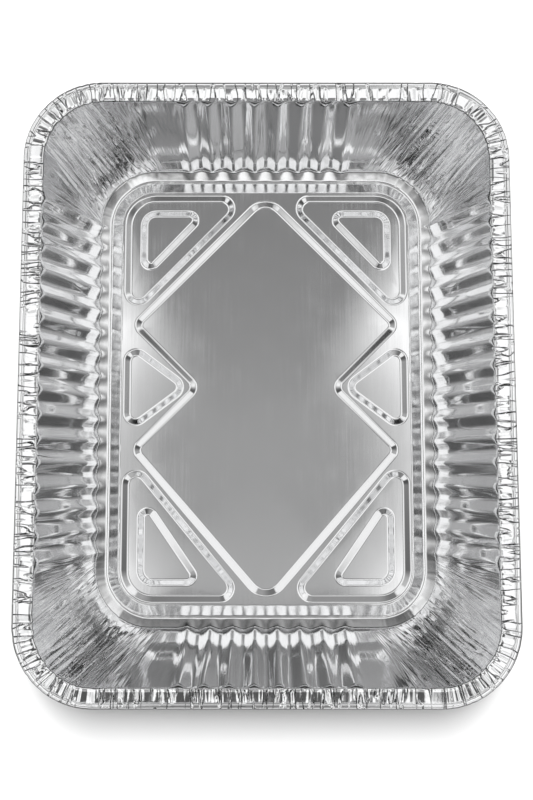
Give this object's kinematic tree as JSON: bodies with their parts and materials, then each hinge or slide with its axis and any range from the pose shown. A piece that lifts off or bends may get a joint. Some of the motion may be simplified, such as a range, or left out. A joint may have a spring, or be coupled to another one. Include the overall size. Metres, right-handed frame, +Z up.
{
  "type": "foil roasting pan",
  "caption": "Rectangular pressed-foil roasting pan with fluted sloping walls, gathered corners, a flat flange with a rolled edge and recessed panels in the base.",
  "frame": {"origin": "middle of the underside, at the height of the table the pan stands on", "axes": "+X across the width, +Y along the length towards the far end in the picture, +Z up out of the open top"},
  "size_m": [0.2656, 0.335, 0.062],
  "materials": {
    "foil": "bright rolled foil, smooth, with fine crinkles at the corners"
  },
  "bodies": {
    "root": {"roasting_pan": "foil"}
  },
  "joints": []
}
